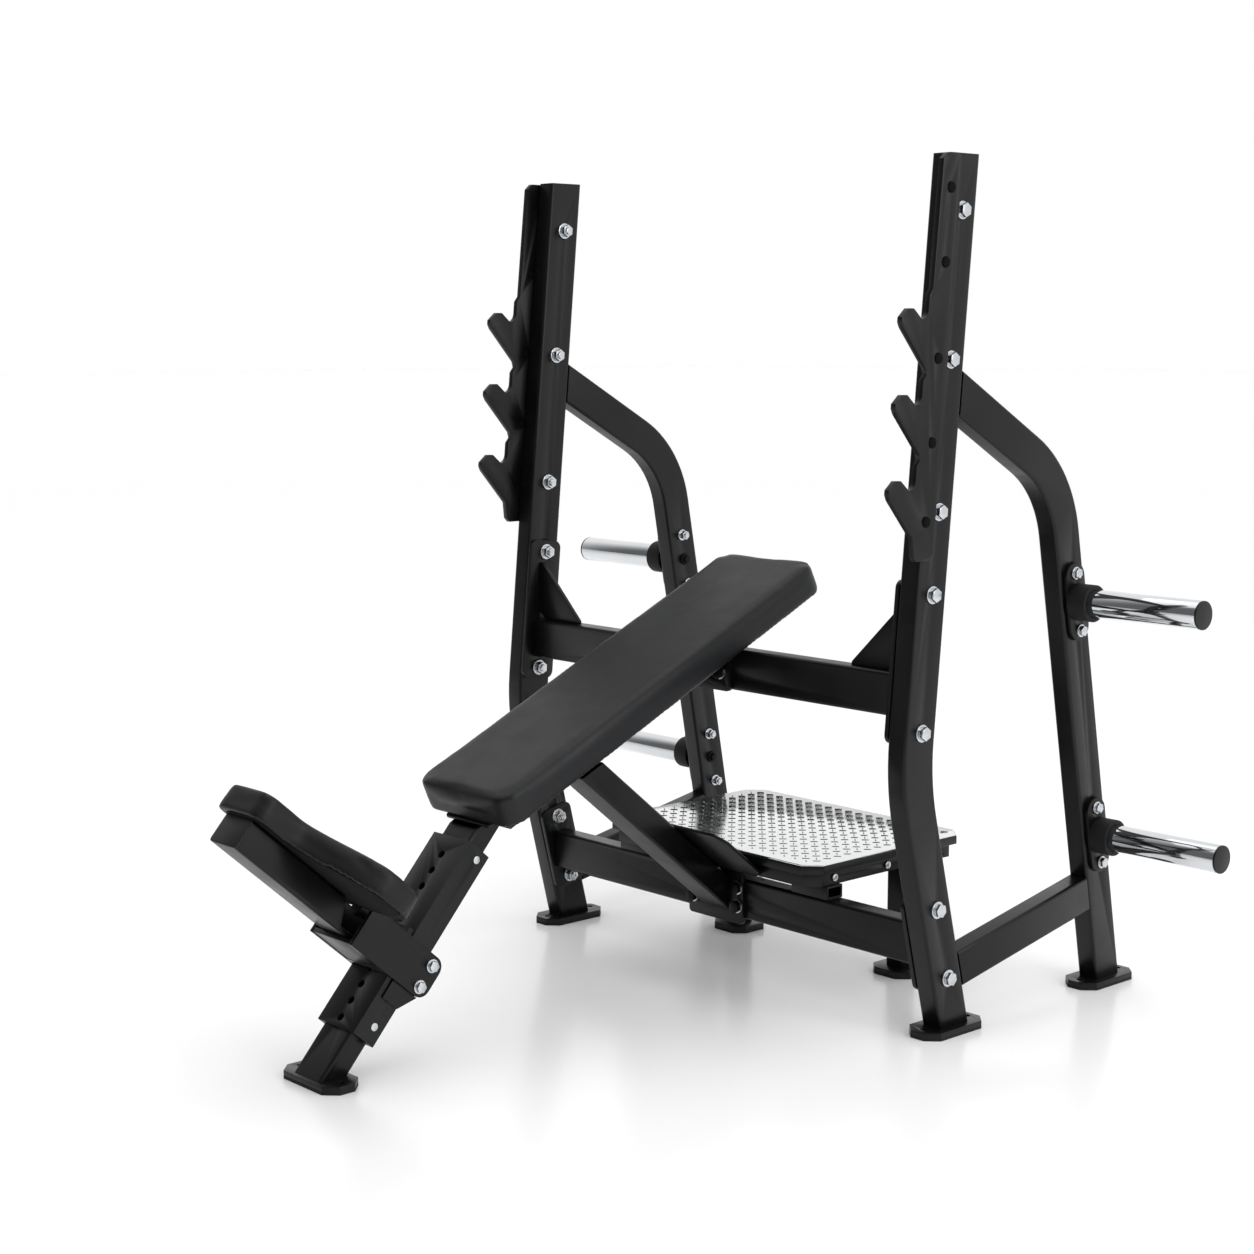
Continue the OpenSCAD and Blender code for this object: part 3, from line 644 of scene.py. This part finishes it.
@dataclass
class Platform:
    """The spotter's platform, with a rolled tread of crossing bars."""

    bar_len_mm: float = 16.0
    bar_w_mm: float = 4.0
    bar_h_mm: float = 1.0
    pitch_mm: float = 27.0
    border_mm: float = 10.0
    corner_mm: float = 30.0
    bar_sides: int = 10
    land_share: tuple[float, float, float] = (0.86, 0.5, 1.0)
    bar_shade_deg: float = 20.0
    steel_edge_mm: float = 1.0
    plate_edge_mm: float = 0.8
    steel: tuple[str, ...] = (
        "platform_rim", "platform_rails", "platform_legs", "platform_brackets",
    )

    def tread_bar(self, turn_deg: float) -> bpy.types.Object:
        """Models one raised bar: a lens-shaped land with sloping sides.

        Args:
            turn_deg: how it is turned on the plate.

        Returns:
            The bar, its foot on the origin's plane.
        """
        bpy.ops.mesh.primitive_cylinder_add(
            vertices=self.bar_sides, radius=0.5, depth=1.0, end_fill_type="NGON"
        )
        bar = bpy.context.object
        bar.scale = (self.bar_len_mm * MM, self.bar_w_mm * MM, 2 * self.bar_h_mm * MM)
        settle(bar)
        bpy.ops.object.mode_set(mode="EDIT")
        bpy.ops.mesh.select_all(action="DESELECT")
        bpy.ops.object.mode_set(mode="OBJECT")
        for face in bar.data.polygons:
            face.select = face.normal.z > 0.9
        bpy.ops.object.mode_set(mode="EDIT")
        bpy.ops.transform.resize(value=self.land_share)
        bpy.ops.object.mode_set(mode="OBJECT")
        bar.rotation_euler.z = math.radians(turn_deg)
        settle(bar)
        return bar

    def keep_on_plate(self, bars: bpy.types.Object, size: int, half: Vector) -> None:
        """Deletes the bars that would hang over the plate's edge or its cut corners.

        Args:
            bars: the array of bars, centred on the origin.
            size: how many vertices one bar has.
            half: half of the plate's width and depth.
        """
        work_on(bars)
        bpy.ops.object.mode_set(mode="EDIT")
        bpy.ops.mesh.select_mode(type="VERT")
        bpy.ops.mesh.select_all(action="DESELECT")
        bpy.ops.object.mode_set(mode="OBJECT")
        verts = bars.data.vertices
        room = self.border_mm * MM
        for start in range(0, len(verts), size):
            block = [verts[i] for i in range(start, start + size)]
            spread = [(abs(v.co.x), abs(v.co.y)) for v in block]
            over = any(
                x > half.x - room or y > half.y - room
                or x + y > half.x + half.y - self.corner_mm * MM - room
                for x, y in spread
            )
            for vertex in block:
                vertex.select = over
        bpy.ops.object.mode_set(mode="EDIT")
        bpy.ops.mesh.delete(type="VERT")
        bpy.ops.object.mode_set(mode="OBJECT")

    def tread(self, bench: Bench) -> None:
        """Rolls the crossing bars onto the plate, in two arrays set half a pitch apart.

        Args:
            bench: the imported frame.
        """
        low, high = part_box("platform_plate")
        low, high = Vector(low), Vector(high)
        half = (high - low) / 2
        centre = (high + low) / 2
        pitch = self.pitch_mm * MM
        across = int(2 * half.x / pitch) + 2
        along = int(2 * half.y / pitch) + 2
        for count, turn in enumerate((45.0, -45.0)):
            deselect_all()
            bars = self.tread_bar(turn)
            size = len(bars.data.vertices)
            apply_modifier(
                bars, "ARRAY", count=across, use_relative_offset=False,
                use_constant_offset=True, constant_offset_displace=(pitch, 0, 0),
            )
            apply_modifier(
                bars, "ARRAY", count=along, use_relative_offset=False,
                use_constant_offset=True, constant_offset_displace=(0, pitch, 0),
            )
            shift = (count - 0.5) * pitch / 2
            bars.location = (shift - (across - 1) * pitch / 2, shift - (along - 1) * pitch / 2, 0)
            settle(bars)
            self.keep_on_plate(bars, size, half)
            bars.location = (centre.x, centre.y, high.z)
            settle(bars)
            bars.name = f"tread_bars_{count + 1}"
            smooth(bars, self.bar_shade_deg)
            bench.fit(bars, Finishes.TREAD_LAND, "platform_plate")

    def build(self, bench: Bench) -> None:
        """Eases the platform's steel and rolls its tread.

        Args:
            bench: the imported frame.
        """
        for node in self.steel:
            bench.ease(node, Finishes.POWDER_COAT, self.steel_edge_mm)
        bench.ease("platform_plate", Finishes.TREAD_STEEL, self.plate_edge_mm)
        self.tread(bench)


@dataclass
class Cushion:
    """A foam pad under stretched vinyl: crowned on top, flat where it rests on its board."""

    node: str
    board: str
    finish: Finishes
    local: Matrix
    voxel_mm: float = 5.0
    swell_mm: float = 3.0
    pressure: float = 1.2
    steps: int = 20
    edge_passes: int = 7
    ease_passes: int = 6
    last_passes: int = 2
    pad_shade_deg: float = 60.0
    stiffness: float = 12.0
    board_edge_mm: float = 0.8
    firm_share: float = 0.45
    fill: float = 0.9

    def heights(self, piece: bpy.types.Object) -> list[float]:
        """Lists each vertex's height above the pad's own base plane."""
        back = self.local.inverted()
        return [(back @ v.co).z for v in piece.data.vertices]

    def mark(self, piece: bpy.types.Object, name: str, weights: Iterable[float]) -> None:
        """Stores one weight per vertex in a new vertex group.

        Args:
            piece: the pad.
            name: the new group's name.
            weights: one weight for each vertex, in order.
        """
        group = piece.vertex_groups.new(name=name)
        for index, weight in enumerate(weights):
            group.add([index], weight, "REPLACE")

    def inflate(self, piece: bpy.types.Object) -> None:
        """Swells the foam by cloth simulation, and caps how far a point may move.

        Args:
            piece: the remeshed pad, whose group "held" pins what rests on the board.
        """
        before = [v.co.copy() for v in piece.data.vertices]
        work_on(piece)
        cloth = piece.modifiers.new("foam", "CLOTH")
        cloth.settings.use_pressure = True
        cloth.settings.uniform_pressure_force = self.pressure
        cloth.settings.effector_weights.gravity = 0.0
        cloth.settings.vertex_group_mass = "held"
        cloth.settings.tension_stiffness = self.stiffness
        cloth.settings.compression_stiffness = self.stiffness
        cloth.point_cache.frame_start = 1
        cloth.point_cache.frame_end = self.steps
        for step in range(1, self.steps + 1):
            bpy.context.scene.frame_set(step)
        bpy.ops.object.modifier_apply(modifier=cloth.name)
        bpy.context.scene.frame_set(1)
        limit = self.swell_mm * MM
        for vertex, start in zip(piece.data.vertices, before):
            move = vertex.co - start
            if move.length > limit:
                vertex.co = start + move * (limit / move.length)

    def build(self, bench: Bench) -> None:
        """Models the pad from its CAD solid.

        Args:
            bench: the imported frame.
        """
        piece = bench.welded_copy(self.node, f"{self.node}_upholstery")
        low, high = bench.span_in(self.node, self.local)
        thick = high.z - low.z
        crown = self.swell_mm * MM * 0.5
        shrink = Matrix.Diagonal(
            (1 - crown / (high.x - low.x), 1 - crown / (high.y - low.y), 1 - crown / thick, 1)
        )
        base = self.local.copy()
        base.translation = self.local @ Vector(((low.x + high.x) / 2, (low.y + high.y) / 2, low.z))
        piece.data.transform(base @ shrink @ base.inverted())
        apply_modifier(piece, "REMESH", mode="VOXEL", voxel_size=self.voxel_mm * MM)
        firm = low.z + self.firm_share * thick
        self.mark(piece, "soft", [1.0 if h > firm else 0.0 for h in self.heights(piece)])
        apply_modifier(
            piece, "SMOOTH", factor=0.5, iterations=self.edge_passes, vertex_group="soft"
        )
        self.mark(piece, "held", [0.0 if h > firm else 1.0 for h in self.heights(piece)])
        self.inflate(piece)
        apply_modifier(
            piece, "SMOOTH", factor=0.5, iterations=self.ease_passes, vertex_group="soft"
        )
        piece.vertex_groups.clear()
        apply_modifier(piece, "SMOOTH", factor=0.5, iterations=self.last_passes)
        apply_modifier(piece, "SUBSURF", levels=1, render_levels=1)
        smooth(piece, self.pad_shade_deg)
        bench.fit(piece, self.finish, self.node)
        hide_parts(self.node)
        bench.ease(self.board, Finishes.DUST_COVER, self.board_edge_mm)
        LOG.info("%s: %.1f mm thick", piece.name, thick / MM)


# ---------------------------------------------------------------- studio


@dataclass
class Studio:
    """Camera, soft lights and the pale floor."""

    lens_mm: float = 63.42
    sensor_mm: float = 36.0
    azimuth_deg: float = 47.97
    pitch_deg: float = 7.55
    eye: tuple[float, float, float] = (2.8808, -2.5816, 1.1948)
    floor_half: float = 60.0
    bright_way: tuple[float, float, float] = (0.1, 1.0, 0.15)
    dark_room: float = 0.14
    dark_until: float = -0.75
    bright_from: float = 0.3
    # Name, place, aim, side of the square and watts of each softbox.
    softboxes: tuple[tuple[str, Sequence[float], Sequence[float], float, float], ...] = (
        ("key_right", (4.5, 0.6, 2.6), (0, 0, 0.7), 3.0, 60.0),
        ("top", (0.0, 0.0, 4.6), (0, 0, 0), 4.0, 30.0),
    )

    def camera(self) -> None:
        """Stands the camera where it sees the bench from the front right."""
        data = bpy.data.cameras.new("studio_camera")
        data.lens = self.lens_mm
        data.sensor_width = self.sensor_mm
        data.clip_end = 200.0
        camera = bpy.data.objects.new("studio_camera", data)
        camera.location = self.eye
        camera.rotation_euler = (
            math.radians(90 - self.pitch_deg), 0.0, math.radians(self.azimuth_deg)
        )
        bpy.context.collection.objects.link(camera)
        bpy.context.scene.camera = camera

    def softbox(
        self, name: str, place: Sequence[float], aim: Sequence[float], size: float, watts: float
    ) -> None:
        """Hangs one square area light and aims it.

        Args:
            name: the light's name.
            place: where it hangs.
            aim: the point that it faces.
            size: the side of its square.
            watts: its power.
        """
        data = bpy.data.lights.new(name, "AREA")
        data.size = size
        data.energy = watts
        light = bpy.data.objects.new(name, data)
        light.location = place
        light.rotation_euler = (Vector(aim) - Vector(place)).to_track_quat("-Z", "Y").to_euler()
        bpy.context.collection.objects.link(light)

    def floor(self) -> None:
        """Lays a pale, faintly glossy floor that reaches past the horizon's haze."""
        deselect_all()
        bpy.ops.mesh.primitive_plane_add(size=2 * self.floor_half)
        floor = bpy.context.object
        floor.name = "studio_floor"
        finish = Finish(
            "studio_floor_paint", "#fdfdfd", "#fdfdfd", 0.20, 0.20, mottle_mm=900.0,
            grain_mm=40.0, relief_strength=0.0, ior=1.38,
        )
        floor.data.materials.append(finish.material())

    def backdrop(self) -> None:
        """Makes the surroundings white to the eye, and a shaded studio to what is glossy.

        A glossy surface sees white panels behind the bench and to its sides and a dark room
        in front of it, which is what gives black steel its shape.
        """
        world = bpy.data.worlds.new("studio_white")
        world.use_nodes = True
        tree = world.node_tree
        tree.nodes.clear()
        glossy = add_node(tree, "ShaderNodeLightPath").outputs["Is Glossy Ray"]
        way = add_node(tree, "ShaderNodeTexCoord").outputs["Generated"]
        facing = add_node(
            tree, "ShaderNodeVectorMath", {"operation": "DOT_PRODUCT"},
            {1: self.bright_way}, {0: way},
        ).outputs["Value"]
        shaded = add_node(
            tree, "ShaderNodeMapRange", {"interpolation_type": "SMOOTHSTEP"},
            {
                FROM_LOW: self.dark_until,
                FROM_HIGH: self.bright_from,
                TO_LOW: self.dark_room,
                TO_HIGH: 1.0,
            },
            {0: facing},
        ).outputs[0]
        strength = add_node(
            tree, "ShaderNodeMix", {"data_type": "FLOAT"},
            {FLOAT_A: 1.0}, {0: glossy, FLOAT_B: shaded},
        ).outputs[0]
        white = add_node(
            tree,
            "ShaderNodeBackground",
            values={"Color": linear("#ffffff")},
            links={"Strength": strength},
        )
        add_node(tree, "ShaderNodeOutputWorld", links={"Surface": white.outputs[0]})
        bpy.context.scene.world = world

    def build(self) -> None:
        """Sets up the whole studio."""
        bpy.context.scene.view_settings.view_transform = "Standard"
        self.camera()
        self.floor()
        self.backdrop()
        for softbox in self.softboxes:
            self.softbox(*softbox)
        LOG.info("studio ready")


def main() -> None:
    """Builds the bench's sub-assemblies in order, then the studio."""
    logging.basicConfig(level=logging.INFO, format="%(name)s: %(message)s")
    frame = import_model()
    bench = Bench(frame["nodes"], frame["record"])
    SteelFrame().build(bench)
    Fasteners().build(bench)
    PlatePegs().build(bench)
    SeatCarriage().build(bench)
    Platform().build(bench)
    back = turned(BACK_TILT_DEG, BACK_FOOT)
    Cushion("back_pad", "back_board", Finishes.BACK_VINYL, back).build(bench)
    post = turned(-POST_TILT_DEG, POST_FOOT)
    Cushion("seat_pad", "seat_board", Finishes.SEAT_VINYL, post).build(bench)
    Studio().build()


if __name__ == "__main__":
    main()
